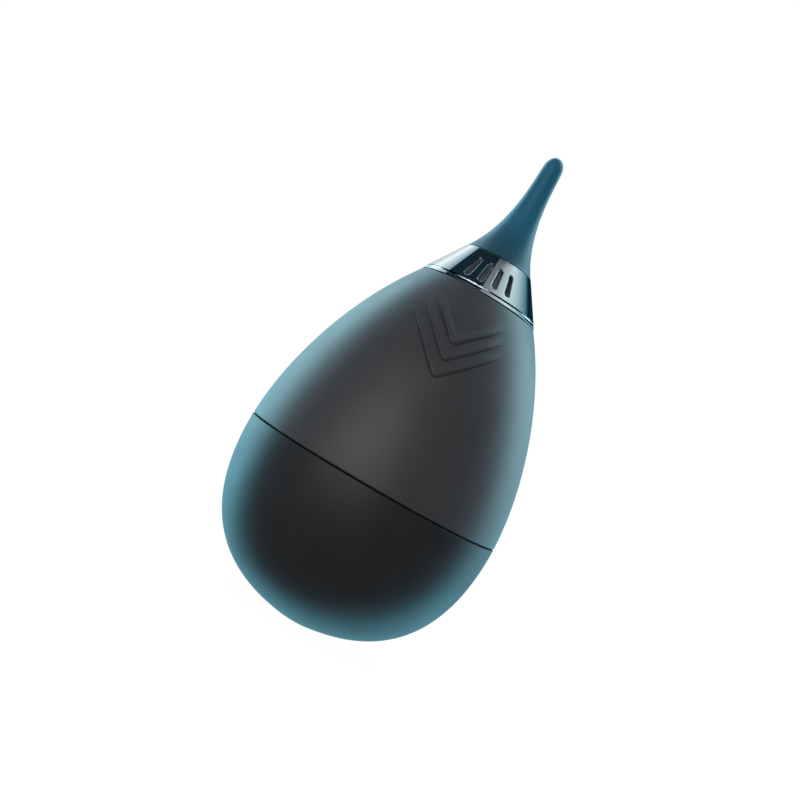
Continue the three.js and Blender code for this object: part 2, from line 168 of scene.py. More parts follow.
def wall_arc(low_z, high_z, count, inset=0.0):
    """Profile points of the egg's wall, evenly spaced along it between two heights."""
    curve = inset_outline(inset)
    low = np.searchsorted(curve[:, 1], low_z)
    high = np.searchsorted(curve[:, 1], high_z)
    ends = wall_rows([low_z, high_z], inset)
    part = np.array([ends[0], *curve[low:high], ends[1]])
    length = np.concatenate([[0], np.cumsum(np.linalg.norm(np.diff(part, axis=0), axis=1))])
    wanted = np.linspace(0, length[-1], count)
    return [tuple(np.interp(w, length, part[:, k]) for k in range(2)) for w in wanted]


def filleted(points, radius, turn=20, closed=False):
    """The profile with each corner sharper than turn degrees rounded off, and a holding point each side."""
    pts = [np.array(p, float) for p in points]
    count = len(pts)
    out = []
    for i, p in enumerate(pts):
        if not closed and i in (0, count - 1):
            out.append(tuple(p))
            continue
        before = pts[i - 1] - p
        after = pts[(i + 1) % count] - p
        len_before, len_after = np.linalg.norm(before), np.linalg.norm(after)
        before /= len_before
        after /= len_after
        inner = math.acos(max(-1, min(1, float(before @ after))))
        if math.pi - inner < math.radians(turn):
            out.append(tuple(p))
            continue
        reach = radius / math.tan(inner / 2)
        reach = min(reach, FILLET_SHARE * len_before, FILLET_SHARE * len_after)
        true_radius = reach * math.tan(inner / 2)
        middle = (before + after) / np.linalg.norm(before + after)
        centre = p + middle * true_radius / math.sin(inner / 2)
        start, end = p + before * reach, p + after * reach
        out.append(tuple(p + before * reach * FILLET_HOLD))
        a, b = start - centre, end - centre
        sweep = math.acos(max(-1, min(1, float(a @ b) / (true_radius**2))))
        for k in range(FILLET_STEPS + 1):
            share = k / FILLET_STEPS
            along = math.sin((1 - share) * sweep) * a + math.sin(share * sweep) * b
            out.append(tuple(centre + along / math.sin(sweep)))
        out.append(tuple(p + after * reach * FILLET_HOLD))
    return out


def new_object(name, vertices, faces, smooth_angle=SHARP_ANGLE):
    """A mesh object from millimetre points, smooth except at edges sharper than smooth_angle."""
    mesh = bpy.data.meshes.new(name)
    mesh.from_pydata([tuple(v) for v in np.asarray(vertices, float) * MM], [], faces)
    mesh.validate()
    mesh.update()
    obj = bpy.data.objects.new(name, mesh)
    bpy.context.scene.collection.objects.link(obj)
    finish_shading(obj, smooth_angle)
    return obj


def finish_shading(obj, smooth_angle=SHARP_ANGLE):
    obj.data.shade_smooth()
    obj.data.set_sharp_from_angle(angle=math.radians(smooth_angle))


def lathe_data(profile, columns, shift=None):
    """Vertices and faces of a profile turned about Z. A profile that starts on the axis is capped there.
    shift(radii, heights, angles) may move each ring of points."""
    columns = np.asarray(columns, float)
    count = len(columns)
    vertices, rings = [], []
    for radius, z in profile:
        if radius < ON_AXIS:
            rings.append([len(vertices)])
            vertices.append((0.0, 0.0, z))
            continue
        radii = np.full(count, float(radius))
        heights = np.full(count, float(z))
        if shift is not None:
            radii, heights = shift(radii, heights, columns)
        rings.append(list(range(len(vertices), len(vertices) + count)))
        vertices += list(zip(radii * np.cos(columns), radii * np.sin(columns), heights))
    pairs = list(zip(rings, rings[1:]))
    if profile[0][0] >= ON_AXIS:
        pairs.append((rings[-1], rings[0]))
    faces = []
    for low, high in pairs:
        for i in range(count):
            j = (i + 1) % count
            if len(low) == 1 and len(high) == 1:
                continue
            if len(low) == 1:
                faces.append((low[0], high[j], high[i]))
            elif len(high) == 1:
                faces.append((low[i], low[j], high[0]))
            else:
                faces.append((low[i], low[j], high[j], high[i]))
    return vertices, faces


def even_columns(count):
    return np.arange(count) * 2 * math.pi / count


def lathe(name, profile, count=128, fillet=0.12, shift=None, smooth_angle=SHARP_ANGLE):
    """A turned piece with softened corners."""
    closed = profile[0][0] >= ON_AXIS
    soft = filleted(profile, fillet, closed=closed) if fillet else profile
    vertices, faces = lathe_data(soft, even_columns(count), shift)
    return new_object(name, vertices, faces, smooth_angle)


def o_ring(name, radius, section, z, count=144, sides=16):
    """A round-section ring."""
    profile = [(radius + section * math.cos(a), z + section * math.sin(a)) for a in even_columns(sides)]
    vertices, faces = lathe_data(profile, even_columns(count))
    return new_object(name, vertices, faces, 80)


def prism(name, radius, low_z, high_z, count, centre=(0, 0)):
    """A plain tool for boolean cuts."""
    angles = even_columns(count)
    ring = np.stack([centre[0] + radius * np.cos(angles), centre[1] + radius * np.sin(angles)], axis=1)
    vertices = [(x, y, low_z) for x, y in ring] + [(x, y, high_z) for x, y in ring]
    faces = [(i, (i + 1) % count, count + (i + 1) % count, count + i) for i in range(count)]
    faces += [tuple(reversed(range(count))), tuple(range(count, 2 * count))]
    return new_object(name, vertices, faces)


def combine(obj, tools, operation):
    """Applies one boolean per tool and removes the tools."""
    for tool in tools:
        modifier = obj.modifiers.new("cut", "BOOLEAN")
        modifier.operation = operation
        modifier.solver = "EXACT"
        modifier.object = tool
    depsgraph = bpy.context.evaluated_depsgraph_get()
    made = bpy.data.meshes.new_from_object(obj.evaluated_get(depsgraph), depsgraph=depsgraph)
    obj.modifiers.clear()
    obj.data = made
    for tool in tools:
        bpy.data.objects.remove(tool)
    finish_shading(obj)
    return obj


def around(count, circle):
    """Points evenly spaced on a circle about the axis, the first at +Y."""
    turns = [i * 2 * math.pi / count for i in range(count)]
    return [(-circle * math.sin(t), circle * math.cos(t)) for t in turns]


def pierce(obj, radius, low_z, high_z, spots, sides):
    """Cuts the same round hole at each spot."""
    return combine(obj, [prism("hole", radius, low_z, high_z, sides, spot) for spot in spots], "DIFFERENCE")


SCREW_SPOTS = around(SCREW_COUNT, SCREW_CIRCLE)

# ---- Materials ----


def linear(code):
    """The linear colour of an sRGB hex code."""
    channels = [((code >> shift) & 255) / 255 for shift in (16, 8, 0)]
    return [c / 12.92 if c <= 0.04045 else ((c + 0.055) / 1.055) ** 2.4 for c in channels] + [1.0]


class Nodes:
    """Short ways to chain shader nodes in one tree."""

    def __init__(self, tree):
        self.nodes = tree.nodes
        self.links = tree.links

    def put(self, socket, value):
        if isinstance(value, bpy.types.NodeSocket):
            self.links.new(value, socket)
        else:
            socket.default_value = value

    def make(self, kind, output, values, **settings):
        """Adds a node with its settings, fills its inputs by name or number and returns one output."""
        node = self.nodes.new(kind)
        for name, setting in settings.items():
            setattr(node, name, setting)
        for name, value in values.items():
            self.put(node.inputs[name], value)
        return node.outputs[output]

    def noise(self, place, scale, detail, roughness=0.5):
        values = {"Vector": place, "Scale": scale, "Detail": detail, "Roughness": roughness}
        return self.make("ShaderNodeTexNoise", "Fac", values)

    def remap(self, value, low, high, low_level=0.0, high_level=1.0, shape="LINEAR"):
        """A change from one range to another, held at its ends."""
        values = {"Value": value, "From Min": low, "From Max": high}
        values.update({"To Min": low_level, "To Max": high_level})
        return self.make("ShaderNodeMapRange", "Result", values, interpolation_type=shape)

    def ramp(self, value, low, high):
        """A smooth step from 0 to 1."""
        return self.remap(value, low, high, shape="SMOOTHSTEP")

    def fall(self, value, low, high):
        """A smooth step from 1 to 0."""
        return self.math("SUBTRACT", 1.0, self.ramp(value, low, high))

    def math(self, operation, a, b=0.0, c=0.0):
        return self.make("ShaderNodeMath", "Value", {0: a, 1: b, 2: c}, operation=operation)

    def product(self, first, *others):
        for other in others:
            first = self.math("MULTIPLY", first, other)
        return first

    def line(self, value, slope, start):
        """value * slope + start"""
        return self.math("MULTIPLY_ADD", value, slope, start)

    def curve(self, value, stops):
        """A piecewise linear curve through (position, level) stops, both from 0 to 1."""
        node = self.nodes.new("ShaderNodeFloatCurve")
        points = node.mapping.curves[0].points
        while len(points) < len(stops):
            points.new(0.5, 0.5)
        for point, (x, y) in zip(points, stops):
            point.location = (x, y)
            point.handle_type = "VECTOR"
        node.mapping.update()
        self.put(node.inputs["Value"], value)
        return node.outputs["Value"]

    def palette(self, value, stops):
        """A colour ramp through (position, red, green, blue) stops."""
        node = self.nodes.new("ShaderNodeValToRGB")
        elements = node.color_ramp.elements
        while len(elements) < len(stops):
            elements.new(0.5)
        for element, (position, *color) in zip(elements, stops):
            element.position = position
            element.color = (*color, 1)
        self.put(node.inputs["Fac"], value)
        return node.outputs["Color"]

    def mix(self, factor, a, b, kind="RGBA"):
        return self.make("ShaderNodeMix", "Result", {"Factor": factor, "A": a, "B": b}, data_type=kind)

    def scale(self, color, level):
        return self.make("ShaderNodeVectorMath", "Vector", {0: color, "Scale": level}, operation="SCALE")

    def add(self, a, b):
        return self.make("ShaderNodeVectorMath", "Vector", {0: a, 1: b}, operation="ADD")


NOISE_LOW = 0.3
NOISE_HIGH = 0.7
BROAD_SHARE = 0.06


def finish_material(
    name, color, roughness, metallic=0.0, grain=900.0, bump=0.05, bump_depth=0.00002,
    color_spread=0.06, rough_spread=0.06, wear_and_shade=None, specular=0.5, sheen=0.0, sheen_roughness=0.5,
    sheen_tint=(1, 1, 1, 1), coat=0.0,
):
    """A Principled finish whose colour, roughness and surface vary with fine object-space noise."""
    material = bpy.data.materials.new(name)
    material.use_nodes = True
    kit = Nodes(material.node_tree)
    sockets = material.node_tree.nodes["Principled BSDF"].inputs
    place = kit.nodes.new("ShaderNodeTexCoord").outputs["Object"]
    broad = kit.noise(place, grain * BROAD_SHARE, 6)
    tone = kit.remap(broad, NOISE_LOW, NOISE_HIGH, 1 - color_spread, 1 + color_spread)
    tint = kit.scale(linear(color)[:3], tone)
    low, high = roughness * (1 - rough_spread), roughness * (1 + rough_spread)
    rough = kit.remap(broad, NOISE_LOW, NOISE_HIGH, low, high)
    if wear_and_shade is not None:
        tint, rough = add_wear_and_shade(kit, place, tint, rough, **wear_and_shade)
    fine = kit.noise(place, grain, 4)
    relief = {"Strength": bump, "Distance": bump_depth, "Height": fine}
    normal = kit.make("ShaderNodeBump", "Normal", relief)
    for socket, value in (
        ("Base Color", tint),
        ("Roughness", rough),
        ("Normal", normal),
        ("Metallic", metallic),
        ("Specular IOR Level", specular),
        ("Sheen Weight", sheen),
        ("Sheen Roughness", sheen_roughness),
        ("Sheen Tint", sheen_tint),
        ("Coat Weight", coat),
        ("Coat Roughness", 0.1),
    ):
        kit.put(sockets[socket], value)
    return material


def add_wear_and_shade(kit, place, tint, rough, scale, heights, levels, color, roughness, softness=0.06):
    """Blends towards another colour and roughness where noise passes a level that changes with height: wear
    marks on the cup and bulb, and painted shade at the nozzle's base.
    """
    split = kit.nodes.new("ShaderNodeSeparateXYZ")
    kit.put(split.inputs["Vector"], place)
    noise = kit.noise(place, scale, 8, 0.7)
    level = kit.remap(split.outputs["Z"], *heights, *levels)
    mask = kit.remap(kit.math("SUBTRACT", noise, level), 0.0, softness, 0.0, 1.0)
    return kit.mix(mask, tint, linear(color)), kit.mix(mask, rough, roughness, "FLOAT")


TEAL_SHEEN = (0.30, 0.66, 0.78, 1)

LOOKS = {
    "cup_plastic": dict(
        color=0x212123, roughness=0.38, grain=2600, bump=0.22, bump_depth=0.00003, specular=0.42,
        sheen=0.2, sheen_roughness=0.35, sheen_tint=TEAL_SHEEN,
        wear_and_shade=dict(scale=420, heights=(0.0, 0.006), levels=(0.5, 1.0), color=0x55585B, roughness=0.7),
    ),
    "bulb_silicone": dict(
        color=0x333235, roughness=0.4, grain=2200, bump=0.25, bump_depth=0.00003, sheen=0.5,
        sheen_roughness=0.35, sheen_tint=TEAL_SHEEN,
        wear_and_shade=dict(scale=160, heights=(0.03, 0.09), levels=(0.66, 0.72), color=0x39383B, roughness=0.48),
    ),
    "nozzle_silicone": dict(
        color=0x0A5068, roughness=0.4, grain=2400, bump=0.12, specular=0.26, sheen=0.35,
        sheen_roughness=0.4, sheen_tint=TEAL_SHEEN,
        # Painted shade, not wear: this blend darkens the nozzle's colour towards its base, by the collar.
        wear_and_shade=dict(
            scale=900, heights=(0.098, 0.109), levels=(-0.2, 0.6), color=0x103A4A, roughness=0.42,
            softness=0.7,
        ),
    ),
    "chrome_trim": dict(
        color=0xF0F3F5, roughness=0.03, metallic=1.0, grain=700, bump=0.03, bump_depth=0.000004,
        color_spread=0.02, rough_spread=0.35,
    ),
    "steel": dict(color=0x8B8F92, roughness=0.34, metallic=1.0, grain=1800, bump=0.2, rough_spread=0.2),
    "screen_steel": dict(
        color=0xB4B9BC, roughness=0.32, metallic=1.0, grain=2500, bump=0.1, rough_spread=0.15
    ),
    "fitting_plastic": dict(color=0x54585C, roughness=0.48, grain=2200, bump=0.2),
    "tube_plastic": dict(color=0xD9DCDD, roughness=0.3, grain=1500, bump=0.08, coat=0.2),
    "seal_rubber": dict(color=0x1B1B1C, roughness=0.62, grain=2600, bump=0.3),
    "flap_silicone": dict(color=0xB9CFD4, roughness=0.42, grain=2000, bump=0.15, coat=0.15),
    "filter_foam": dict(
        color=0x5A5F62, roughness=0.95, grain=1500, bump=1.0, bump_depth=0.0004, color_spread=0.35
    ),
}
MATERIALS = {name: finish_material(name, **look) for name, look in LOOKS.items()}


def dress(obj, node, body, slot):
    """Gives a piece its finish, and lets it stand for one CAD node on its body."""
    obj.data.materials.clear()
    obj.data.materials.append(MATERIALS[slot])
    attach(obj, body)
    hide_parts(node)
    return obj


# ---- Base cup and ballast ----


def base_cup():
    """The cup with its spigot and screw bosses. The seam's inner wall overhangs, so that it stays dark."""
    rim_z = SEAM_LOWER_Z - SEAM_RELIEF
    outer = wall_arc(0.05, rim_z, 90)
    inner = wall_arc(inset_outline(WALL)[0][1] + 0.02, SPIGOT_CORNER_Z, 60, WALL)[::-1]
    floor_z = inner[-1][1]
    ridge = outer[-1][0] - SEAM_DEPTH
    profile = [
        (0, 0.25), (3.2, 0.25), (3.7, 0), *outer, (ridge - SEAM_OVERHANG, rim_z - SEAM_UNDERCUT),
        (ridge, SEAM_RIDGE_Z), (SPIGOT_OUTER, SEAM_RIDGE_Z), (SPIGOT_OUTER, GROOVE_LOW_Z),
        (GROOVE_RADIUS, GROOVE_LOW_Z), (GROOVE_RADIUS, GROOVE_HIGH_Z),
        (SPIGOT_OUTER, GROOVE_HIGH_Z), (SPIGOT_OUTER, SPIGOT_TOP_Z - SPIGOT_CHAMFER),
        (SPIGOT_OUTER - SPIGOT_CHAMFER, SPIGOT_TOP_Z), (SPIGOT_INNER, SPIGOT_TOP_Z),
        (SPIGOT_INNER, SPIGOT_SHELF_Z), *inner, (0, floor_z),
    ]
    cup = lathe("base_cup_shell", profile, 192, fillet=0.05)
    mid_wall = wall_arc(inset_outline(WALL / 2)[0][1] + 0.02, BOSS_TOP_Z, 40, WALL / 2)
    envelope = [(0, mid_wall[0][1]), *mid_wall, (0, BOSS_TOP_Z)]
    posts = [
        combine(
            prism("post", BOSS_RADIUS, 1, BOSS_TOP_Z - 0.01, 48, spot),
            [lathe("envelope", envelope, 96, fillet=0)],
            "INTERSECT",
        )
        for spot in SCREW_SPOTS
    ]
    combine(cup, posts, "UNION")
    return pierce(cup, BOSS_HOLE, BOSS_HOLE_BOTTOM_Z, BOSS_TOP_Z + 1, SCREW_SPOTS, 32)


def base_weight():
    inset = WALL + WEIGHT_CLEARANCE
    underside = wall_arc(inset_outline(inset)[0][1] + 0.02, WEIGHT_TOP_Z, 40, inset)
    profile = [(0, underside[0][1]), *underside, (0, WEIGHT_TOP_Z)]
    slug = lathe("base_weight_slug", profile, 144, fillet=0.3)
    return pierce(slug, WEIGHT_WELL_RADIUS, 0, WEIGHT_TOP_Z + 1, SCREW_SPOTS, 48)


def weight_cover():
    profile = [
        (0, 10.5), (21.6, 10.5), (21.6, 12.4), (23.4, 12.4), (23.4, 13), (21.6, 13), (20.4, 11.9),
        (12.2, 11.9), (11.4, 11.55), (0, 11.55),
    ]
    tray = lathe("weight_cover_tray", profile, 144, fillet=0.2)
    return pierce(tray, COVER_HOLE, 9.5, 13, SCREW_SPOTS, 32)


def weight_screw(index, centre):
    """A socket-head screw with a helical thread below its head."""
    shank, core, root, tip_z, thread_high_z, pitch = 1.1, 0.95, 0.86, 5.4, 11.4, 0.5
    thread_rows = np.linspace(tip_z + 0.9, thread_high_z, 66)
    profile = [(0, tip_z), (0.45, tip_z + 0.05), (0.9, tip_z + 0.7), *[(core, z) for z in thread_rows]]
    profile += [
        (shank, 11.6), (shank, 12.02), (2.4, 12.02), (2.5, 12.12), (2.5, 12.95), (2.38, 13.22),
        (2.1, 13.4), (0, 13.4),
    ]

    def thread(radii, heights, angles):
        if abs(radii[0] - core) > ON_AXIS:
            return radii, heights
        phase = ((heights - tip_z) / pitch - angles / (2 * math.pi)) % 1
        return root + (shank - root) * (1 - np.abs(2 * phase - 1)), heights

    vertices, faces = lathe_data(profile, even_columns(48), thread)
    vertices = [(x + centre[0], y + centre[1], z) for x, y, z in vertices]
    screw = new_object(f"weight_screw_{index}_socket_head", vertices, faces)
    return combine(screw, [prism("hex", 1.1, 12.6, 14, 6, centre)], "DIFFERENCE")


# ---- Squeeze bulb ----

GRIP_TIPS = (65.2, 69.4, 73.6)
GRIP_SLOPE = 1.02
GRIP_HALF_WIDTH = (12.0, 10.8, 9.4)
GRIP_LOW_Z = 62
GRIP_HIGH_Z = 85.4
GRIP_STEP = 0.3
GRIP_GROOVE = 0.3
GRIP_ROUND = 0.6
GRIP_END_FADE = 4.6
GRIP_HALF_ANGLE = math.radians(33)
GRIP_COLUMN = math.radians(0.32)
GRIP_RISE = (-0.02, 0.2)
GRIP_FALL = (0.5, 2.2)
GRIP_GROOVE_WIDTH = 0.1
GRIP_ROW = 0.14
PLAIN_ROW = 0.6


def smoothstep(low, high, value):
    share = np.clip((value - low) / (high - low), 0, 1)
    return share * share * (3 - 2 * share)


def grip_height(across, z):
    """Height of the nested chevrons over the bulb's wall, from the distance across and the height."""
    total = np.zeros_like(across)
    spread = np.sqrt(across**2 + GRIP_ROUND**2) - GRIP_ROUND
    for tip, width in zip(GRIP_TIPS, GRIP_HALF_WIDTH):
        rise = (z - tip - GRIP_SLOPE * spread) / math.hypot(1, GRIP_SLOPE)
        ends = 1 - smoothstep(width - GRIP_END_FADE, width, np.abs(across))
        shelf = smoothstep(*GRIP_RISE, rise) * (1 - smoothstep(*GRIP_FALL, rise))
        groove = np.exp(-((rise / GRIP_GROOVE_WIDTH + 1) ** 2))
        total += ends * (GRIP_STEP * shelf - GRIP_GROOVE * groove)
    return total


def bulb_columns():
    """Column angles, close together across the front and wide apart elsewhere."""
    front = np.arange(-GRIP_HALF_ANGLE, GRIP_HALF_ANGLE + GRIP_COLUMN / 32, GRIP_COLUMN)
    rest = np.linspace(GRIP_HALF_ANGLE, 2 * math.pi - GRIP_HALF_ANGLE, 150)[1:-1]
    return np.concatenate([front, rest]) - math.pi / 2


def squeeze_bulb():
    """The bulb's wall, its rounded rims and the chevron grip raised on its front."""
    rim = [
        (wall_rows([SEAM_UPPER_Z + lift])[0][0] - inset, SEAM_UPPER_Z + lift) for lift, inset in SEAM_ROUNDING
    ]
    heights = np.concatenate([
        np.arange(38.6, GRIP_LOW_Z, PLAIN_ROW),
        np.arange(GRIP_LOW_Z, GRIP_HIGH_Z, GRIP_ROW),
        np.arange(GRIP_HIGH_Z + 0.2, BULB_TOP_Z - 0.3, 0.4),
    ])
    outer = rim + wall_rows(heights)
    top = wall_rows([BULB_TOP_Z - 0.12])
    inner = wall_arc(SEAM_UPPER_Z + 0.15, LIP_UNDERSIDE_Z - 0.2, 50, WALL)[::-1]
    profile = [
        *outer, *top, (top[0][0] - 0.25, BULB_TOP_Z), (MOUTH_RADIUS + 0.15, BULB_TOP_Z),
        (MOUTH_RADIUS, BULB_TOP_Z - 0.15), (MOUTH_RADIUS, LIP_UNDERSIDE_Z + 0.1),
        (MOUTH_RADIUS + 0.1, LIP_UNDERSIDE_Z), (inner[0][0] - 0.25, LIP_UNDERSIDE_Z), *inner,
        (inner[-1][0] + 0.12, SEAM_UPPER_Z),
    ]
    # The step keeps neighbouring heights apart where the two curves of the outline join.
    slope = np.gradient(OUTLINE[:, 0], OUTLINE[:, 1] + np.arange(len(OUTLINE)) * 1e-9)

    def relief(radii, heights, angles):
        z = heights[0]
        wall = np.interp(z, OUTLINE[:, 1], OUTLINE[:, 0])
        if not GRIP_LOW_Z <= z < GRIP_HIGH_Z or radii[0] < wall - 1:
            return radii, heights
        lean = math.atan(-np.interp(z, OUTLINE[:, 1], slope))
        turned = (angles + math.pi / 2 + math.pi) % (2 * math.pi) - math.pi
        raised = np.where(np.abs(turned) < GRIP_HALF_ANGLE, grip_height(turned * radii, heights), 0)
        return radii + raised * math.cos(lean), heights + raised * math.sin(lean)

    vertices, faces = lathe_data(profile, bulb_columns(), relief)
    return new_object("squeeze_bulb_skin", vertices, faces, 50)


def seam_ring():
    profile = [(28, 37.97), (30.35, 37.97), (29.45, 43.6), (28, 43.6)]
    return lathe("seam_ring_liner", profile, 160, fillet=0.2)


def neck_insert():
    profile = [(7.9, 82.8), (13.5, 82.8), (13.5, 85.05), (9.5, 85.05), (9.5, 88.3), (7.9, 88.3)]
    return lathe("neck_insert_body", profile, 128, fillet=0.15)


def clamp_ring():
    """A rounded bead with a fine step under the collar."""
    face_high = (15.38 - 0.68 * math.tan(LEAN), 88.54)
    crest = [(15.27, 87.75), (15.38, 87.86), face_high, (face_high[0] - 0.16, 88.62)]
    shoulder = [(14.5, 88.74), (14.5, 88.85)]
    profile = [(9.8, 87.75), *crest, *shoulder, (9.8, 88.85)]
    return lathe("clamp_ring_bead", profile, 256, fillet=0.02, smooth_angle=25)


def neck_gasket():
    profile = [(8.1, 88.42), (9.3, 88.42), (9.3, 88.92), (8.1, 88.92)]
    return lathe("neck_gasket_washer", profile, 96, fillet=0.08)


# ---- Valve ----


def valve_plate():
    """The threaded plug with its ring of vent ports."""
    rows = np.arange(THREAD_LOW_Z + 0.15, THREAD_HIGH_Z, THREAD_ROW)
    profile = [
        (6.5, THREAD_LOW_Z), (7.2, THREAD_LOW_Z), *[(THREAD_ROOT, z) for z in rows],
        (THREAD_CREST, 89.05), (12.1, 89.05), (12.1, 89.85), (8.6, 89.85), (8.6, 90.1), (3.3, 90.1),
        (3.3, 89.05), (6.5, 89.05),
    ]

    def thread(radii, heights, angles):
        z = heights[0]
        if abs(radii[0] - THREAD_ROOT) > ON_AXIS:
            return radii, heights
        phase = ((z - THREAD_LOW_Z) / THREAD_PITCH - angles / (2 * math.pi)) % 1
        ridge = np.clip(THREAD_FLAT - np.abs(phase - 0.5) * THREAD_FLANK, 0, 1)
        run_in = smoothstep(THREAD_LOW_Z, THREAD_LOW_Z + THREAD_RUN_IN, z)
        fade = run_in * (1 - smoothstep(*THREAD_RUN_OUT, z))
        return radii + (THREAD_CREST - THREAD_ROOT) * ridge * fade, heights

    vertices, faces = lathe_data(profile, even_columns(144), thread)
    plug = new_object("valve_plate_plug", vertices, faces)
    return pierce(plug, PORT_RADIUS, 88, 91, around(PORT_COUNT, PORT_CIRCLE), 24)


def air_tube():
    profile = [
        (1.8, 80.5), (2.2, 80.5), (3, 81.5), (3, 87.2), (4.1, 87.2), (4.1, 88.2), (3, 88.2),
        (3, 101.9), (2.45, 101.9), (2.45, 102.8), (3, 102.8), (3, 103.9), (2.6, 104.3),
        (1.8, 104.3),
    ]
    return lathe("air_tube_body", profile, 96, fillet=0.12)


def vent_flap():
    """A thin umbrella with a raised inner ring and a bead round its edge."""
    profile = [
        (3.35, 90.22), (7.8, 90.22), (7.8, 90.66), (7.35, 90.66), (7.1, 90.5), (4.6, 90.5),
        (4.4, 90.72), (3.35, 90.72),
    ]
    return lathe("vent_flap_disc", profile, 128, fillet=0.08)


def flap_retainer():
    profile = [(3.15, 91.75), (5.2, 91.75), (5.2, 92.3), (4.9, 92.6), (3.15, 92.6)]
    return lathe("flap_retainer_washer", profile, 96, fillet=0.1)


# ---- Collar ----

LEAN = math.atan2(CONE_LOW_RADIUS - CONE_TOP_RADIUS, CONE_TOP_Z - CONE_LOW_Z)
CONE_RADIAL_WALL = CONE_WALL / math.cos(LEAN)
BORE_TOP_Z = CONE_LOW_Z + (CONE_LOW_RADIUS - CONE_RADIAL_WALL - CONE_BORE) / math.tan(LEAN)
CELL_HALF_ANGLE = 5.6
CELL_MARGIN = 0.75
CELL_ACROSS = 14
CELL_UP = 34
SLOT_FILLET = 0.08
SLOT_SURROUND = SLOT_FILLET * 1.3
SLOT_LOW_ALONG = (SLOT_LOW_Z - CONE_LOW_Z) / math.cos(LEAN) + SLOT_LOW_WIDTH / 2
SLOT_HIGH_ALONG = (SLOT_HIGH_Z - CONE_LOW_Z) / math.cos(LEAN) - SLOT_HIGH_WIDTH / 2
COLLAR_EDGE = 0.035
COLLAR_SHARP = 60
WELD = 0.003 * MM
COLLAR_STEP = math.radians(1.4)


def cone_radius(z):
    return CONE_LOW_RADIUS - (z - CONE_LOW_Z) * math.tan(LEAN)


def cone_point(angle, along, depth):
    """A point of the collar wall: angle from the front, distance up the slant, depth under the face."""
    z = CONE_LOW_Z + along * math.cos(LEAN) - depth * math.sin(LEAN)
    radius = cone_radius(CONE_LOW_Z + along * math.cos(LEAN)) - depth * math.cos(LEAN)
    return (radius * math.sin(angle), -radius * math.cos(angle), z)


def wall_depth(along):
    """Full depth of the wall at a distance up the slant, where the inside is a bore or a cone."""
    outer = cone_radius(CONE_LOW_Z + along * math.cos(LEAN))
    return max(CONE_WALL, (outer - CONE_BORE) / math.cos(LEAN))


def slot_edge(partner, grow):
    """A point of the slot's outline, as distances across and up the slant. partner names the slot's side
    or end, and how far along it the point is."""
    low_radius, high_radius = SLOT_LOW_WIDTH / 2 + grow, SLOT_HIGH_WIDTH / 2 + grow
    kind, share = partner
    if kind in ("right", "left"):
        across = low_radius + (high_radius - low_radius) * share
        along = SLOT_LOW_ALONG + (SLOT_HIGH_ALONG - SLOT_LOW_ALONG) * share
        return (across if kind == "right" else -across), along
    if kind == "low":
        turn = math.pi + math.pi * share
        return low_radius * math.cos(turn), SLOT_LOW_ALONG + low_radius * math.sin(turn)
    turn = math.pi * share
    return high_radius * math.cos(turn), SLOT_HIGH_ALONG + high_radius * math.sin(turn)


def cell_loop(rows):
    """The cell's boundary as (across share -1..1, distance up), with each point's partner on the slot."""
    across = np.linspace(-1, 1, CELL_ACROSS + 1)
    loop = [(x, rows[0]) for x in across[:-1]]
    loop += [(1.0, y) for y in rows[:-1]]
    loop += [(x, rows[-1]) for x in across[::-1][:-1]]
    loop += [(-1.0, y) for y in rows[::-1][:-1]]
    below = [i for i, point in enumerate(loop) if point[1] < SLOT_LOW_ALONG]
    below.sort(key=lambda i: i <= len(loop) / 2)
    above = [i for i, point in enumerate(loop) if point[1] > SLOT_HIGH_ALONG]
    partners = [
        ("right" if x > 0 else "left", (y - SLOT_LOW_ALONG) / (SLOT_HIGH_ALONG - SLOT_LOW_ALONG))
        for x, y in loop
    ]
    for end, order in (("low", below), ("high", above)):
        for k, i in enumerate(order):
            partners[i] = (end, (k + 0.5) / len(order))
    return loop, partners


def slot_point(centre, u, v, depth):
    """A point of the slot's wall, straight in from its place on the face."""
    radius = cone_radius(CONE_LOW_Z + v * math.cos(LEAN))
    return cone_point(centre + u / radius, v, depth)


def slot_centres():
    """The slots' angles from the front: one group at the front and one at the back."""
    steps = np.arange(SLOTS_PER_SIDE) - (SLOTS_PER_SIDE - 1) / 2
    return [side + math.radians(step * SLOT_PITCH) for side in (0, math.pi) for step in steps]


def collar_columns(centres, half):
    """Column angles, with the same ones across each slot's cell and wider ones between cells."""
    columns = [c + half * x for c in centres for x in np.linspace(-1, 1, CELL_ACROSS + 1)]
    for a, b in zip(centres, centres[1:] + [centres[0] + 2 * math.pi]):
        start, end = a + half, b - half
        steps = max(3, round((end - start) / COLLAR_STEP))
        columns += list(np.linspace(start, end, steps + 1)[1:-1])
    return sorted(set(round(c % (2 * math.pi), 9) for c in columns))


def collar_profiles(low_along, high_along):
    """The plain bands under and over the slots, as profiles from the outer face round to the inner one."""
    low_face = [cone_point(0, y, 0.0) for y in np.linspace(low_along, COLLAR_EDGE * 1.3, 4)]
    outer_low = [(-y, z) for _, y, z in low_face]
    _, y, z = cone_point(0, low_along, wall_depth(low_along))
    corners = [outer_low[-1], (CONE_LOW_RADIUS, CONE_LOW_Z), (CONE_BORE, CONE_LOW_Z), (-y, z)]
    below = outer_low[:-1] + filleted(corners, COLLAR_EDGE)
    _, outer_y, outer_z = cone_point(0, high_along, 0)
    _, inner_y, inner_z = cone_point(0, high_along, wall_depth(high_along))
    above = filleted([
        (-inner_y, inner_z),
        (cone_radius(CONE_ROOF_Z) - CONE_RADIAL_WALL, CONE_ROOF_Z),
        (CONE_HOLE, CONE_ROOF_Z),
        (CONE_HOLE, CONE_TOP_Z),
        (CONE_TOP_RADIUS, CONE_TOP_Z),
        (-outer_y, outer_z),
    ], COLLAR_EDGE)
    return below, above


